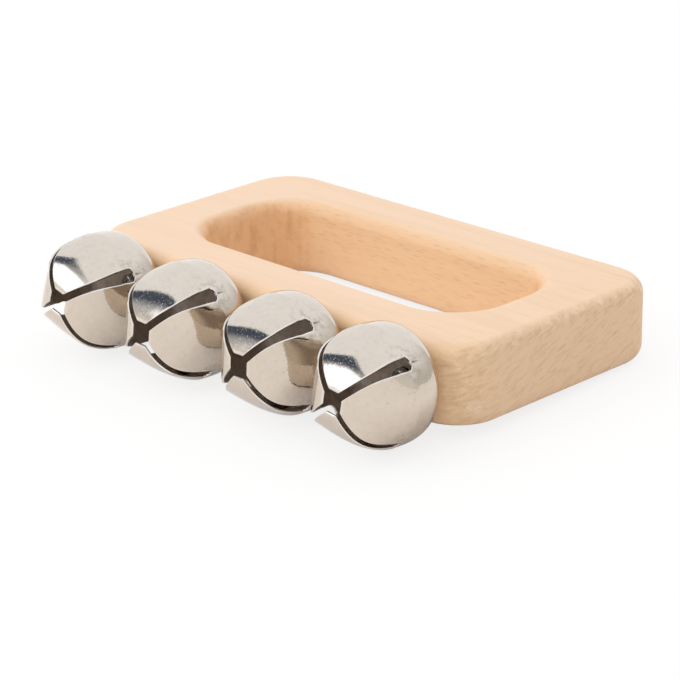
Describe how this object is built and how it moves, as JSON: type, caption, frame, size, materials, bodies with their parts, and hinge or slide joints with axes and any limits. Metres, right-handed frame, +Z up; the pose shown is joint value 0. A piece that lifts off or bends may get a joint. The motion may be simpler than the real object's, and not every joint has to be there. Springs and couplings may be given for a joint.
{
  "type": "jingle stick",
  "caption": "Hand-held beech frame with a long finger hole and a row of nickel-plated jingle bells screwed along one side, each with a loose pellet inside",
  "frame": {"origin": "under the middle of the whole object, on the plane that the lowest points of the bells touch", "axes": "+X along the row of bells, from bell_1 to bell_4; +Y from the bells across the board to the hand rail; +Z up, square to the board's flat faces"},
  "size_m": [0.116, 0.0879, 0.0261],
  "materials": {
    "beech": "smooth sanded beech with a thin satin lacquer, fine grain along the long side and end grain on the short ends",
    "nickel_plate": "bright nickel plate on stamped sheet steel, slightly uneven, with brighter cut edges along the slots",
    "pellet_iron": "bare tumbled iron, dull grey",
    "screw_zinc": "zinc-plated steel"
  },
  "bodies": {
    "stick": {"wooden_frame": "beech", "screw_1": "screw_zinc", "screw_2": "screw_zinc", "screw_3": "screw_zinc", "screw_4": "screw_zinc"},
    "bell_1": {"bell_1": "nickel_plate"},
    "bell_2": {"bell_2": "nickel_plate"},
    "bell_3": {"bell_3": "nickel_plate"},
    "bell_4": {"bell_4": "nickel_plate"},
    "pellet_1": {"pellet_1": "pellet_iron"},
    "pellet_2": {"pellet_2": "pellet_iron"},
    "pellet_3": {"pellet_3": "pellet_iron"},
    "pellet_4": {"pellet_4": "pellet_iron"}
  },
  "joints": [
    {"name": "bell_1_turn", "type": "hinge", "parent": "stick", "child": "bell_1", "pos_m": [-0.04065, -0.02125, 0.01246], "axis": [0, -0.9982, 0.0593], "continuous": true},
    {"name": "bell_2_turn", "type": "hinge", "parent": "stick", "child": "bell_2", "pos_m": [-0.01305, -0.02125, 0.01246], "axis": [0, -0.9982, 0.0593], "continuous": true},
    {"name": "bell_3_turn", "type": "hinge", "parent": "stick", "child": "bell_3", "pos_m": [0.01635, -0.02125, 0.01246], "axis": [0, -0.9982, 0.0593], "continuous": true},
    {"name": "bell_4_turn", "type": "hinge", "parent": "stick", "child": "bell_4", "pos_m": [0.04305, -0.02125, 0.01246], "axis": [0, -0.9982, 0.0593], "continuous": true},
    {"name": "pellet_1_rattle", "type": "slide", "parent": "stick", "child": "pellet_1", "axis": [0, 0.0593, 0.9982], "range_m": [0, 0.0184]},
    {"name": "pellet_2_rattle", "type": "slide", "parent": "stick", "child": "pellet_2", "axis": [0, 0.0593, 0.9982], "range_m": [0, 0.0184]},
    {"name": "pellet_3_rattle", "type": "slide", "parent": "stick", "child": "pellet_3", "axis": [0, 0.0593, 0.9982], "range_m": [0, 0.0184]},
    {"name": "pellet_4_rattle", "type": "slide", "parent": "stick", "child": "pellet_4", "axis": [0, 0.0593, 0.9982], "range_m": [0, 0.0184]}
  ]
}
